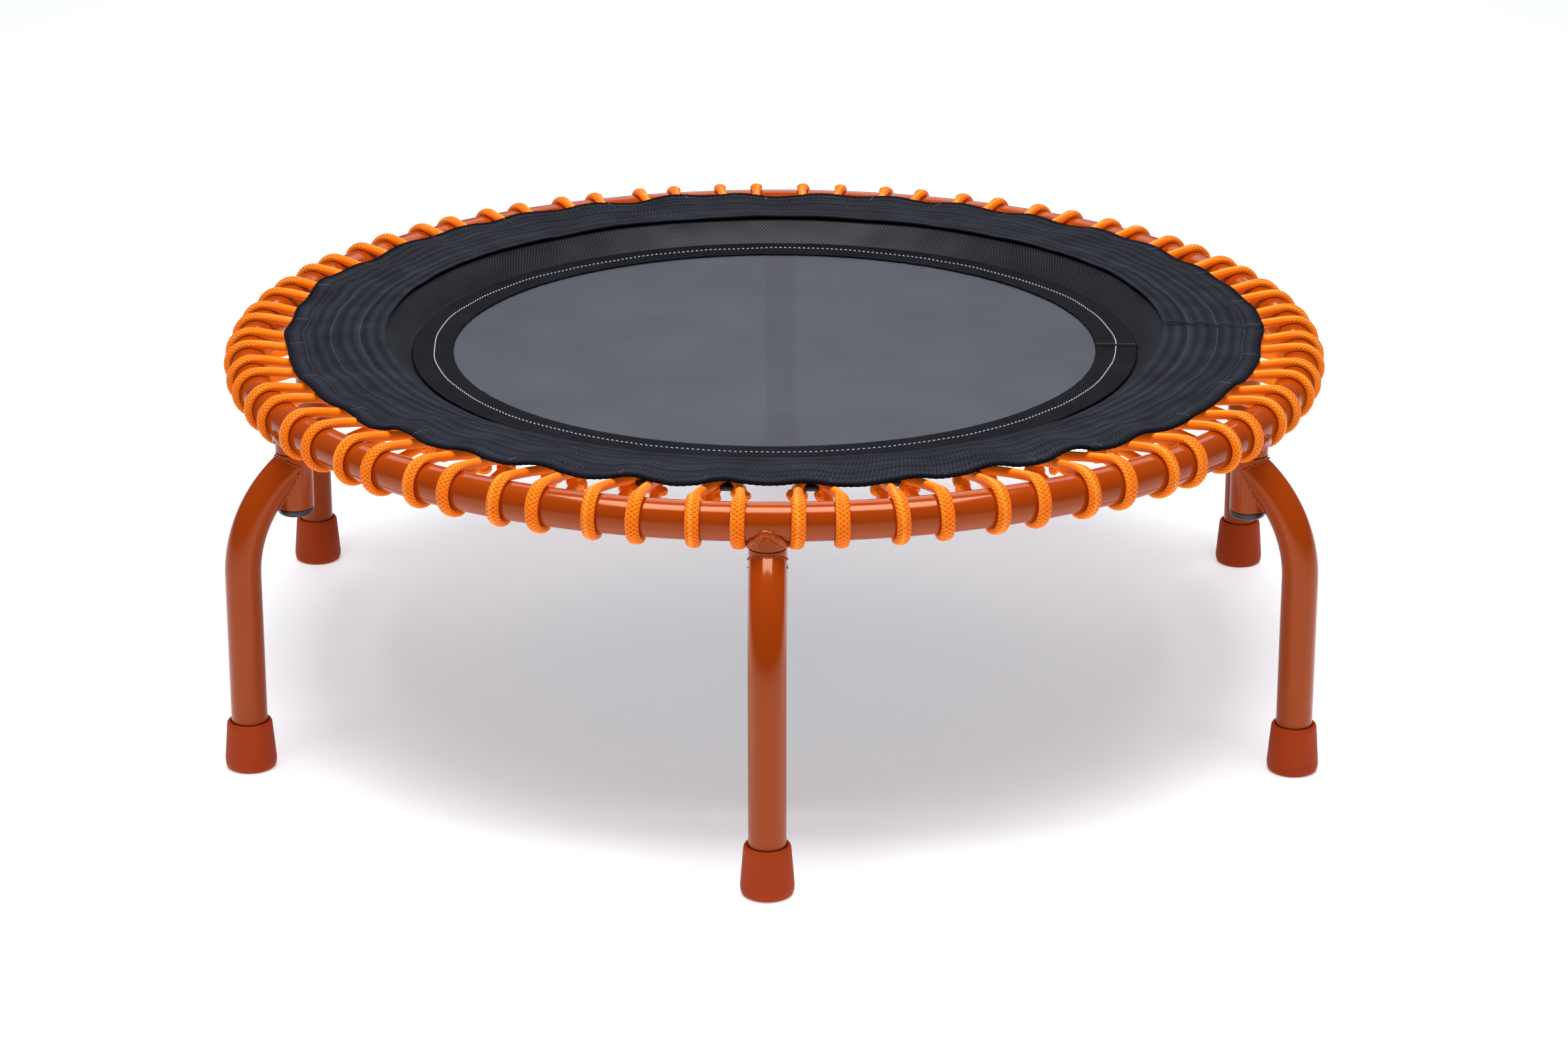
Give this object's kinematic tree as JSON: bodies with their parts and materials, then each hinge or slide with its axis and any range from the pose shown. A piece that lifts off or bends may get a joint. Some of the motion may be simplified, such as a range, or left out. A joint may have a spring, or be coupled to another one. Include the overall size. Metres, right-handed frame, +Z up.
{
  "type": "mini trampoline",
  "caption": "Round fitness rebounder: tube frame on bolted arched legs with rubber feet, and a woven mat with a fabric skirt hung from the frame by bungee cords.",
  "frame": {"origin": "on the floor, under the centre of the mat", "axes": "+Z up, square to the mat; +Y from the front leg to the back leg, and +X to the right, between two legs"},
  "size_m": [1.0028, 1.1064, 0.3311],
  "materials": {
    "frame_paint": "gloss orange powder coat",
    "foot_rubber": "matt moulded rubber, dark orange",
    "black_plastic": "moulded, satin black",
    "cord_braid": "braided polyester sheath over elastic, bright orange",
    "mat_weave": "woven polypropylene, dark grey",
    "band_webbing": "brushed black webbing with a white stitch line",
    "open_mesh": "open knitted mesh, black",
    "skirt_twill": "ribbed black twill",
    "strap_webbing": "black webbing"
  },
  "bodies": {
    "frame": {"frame_ring": "frame_paint", "leg_1": "frame_paint", "leg_2": "frame_paint", "leg_3": "frame_paint", "leg_4": "frame_paint", "leg_5": "frame_paint", "leg_6": "frame_paint", "leg_bolt_1": "black_plastic", "leg_bolt_2": "black_plastic", "leg_bolt_3": "black_plastic", "leg_bolt_4": "black_plastic", "leg_bolt_5": "black_plastic", "leg_bolt_6": "black_plastic", "foot_1": "foot_rubber", "foot_2": "foot_rubber", "foot_3": "foot_rubber", "foot_4": "foot_rubber", "foot_5": "foot_rubber", "foot_6": "foot_rubber", "cord_01": "cord_braid", "cord_02": "cord_braid", "cord_03": "cord_braid", "cord_04": "cord_braid", "cord_05": "cord_braid", "cord_06": "cord_braid", "cord_07": "cord_braid", "cord_08": "cord_braid", "cord_09": "cord_braid", "cord_10": "cord_braid", "cord_11": "cord_braid", "cord_12": "cord_braid", "cord_13": "cord_braid", "cord_14": "cord_braid", "cord_15": "cord_braid", "cord_16": "cord_braid", "cord_17": "cord_braid", "cord_18": "cord_braid", "cord_19": "cord_braid", "cord_20": "cord_braid", "cord_21": "cord_braid", "cord_22": "cord_braid", "cord_23": "cord_braid", "cord_24": "cord_braid", "cord_25": "cord_braid", "cord_26": "cord_braid", "cord_27": "cord_braid", "cord_28": "cord_braid", "cord_29": "cord_braid", "cord_30": "cord_braid", "cord_31": "cord_braid", "cord_32": "cord_braid", "cord_33": "cord_braid", "cord_34": "cord_braid", "cord_35": "cord_braid", "cord_36": "cord_braid"},
    "mat": {"jump_mat": "mat_weave", "edge_band": "band_webbing", "mesh_ring": "open_mesh", "skirt": "skirt_twill", "strap_ring": "strap_webbing"}
  },
  "joints": [
    {"name": "mat_bounce", "type": "slide", "parent": "frame", "child": "mat", "axis": [0, 0, 1], "range_m": [-0.1, 0], "stiffness_N_per_m": 10000, "deforming": ["cord_01", "cord_02", "cord_03", "cord_04", "cord_05", "cord_06", "cord_07", "cord_08", "cord_09", "cord_10", "cord_11", "cord_12", "cord_13", "cord_14", "cord_15", "cord_16", "cord_17", "cord_18", "cord_19", "cord_20", "cord_21", "cord_22", "cord_23", "cord_24", "cord_25", "cord_26", "cord_27", "cord_28", "cord_29", "cord_30", "cord_31", "cord_32", "cord_33", "cord_34", "cord_35", "cord_36"]}
  ]
}
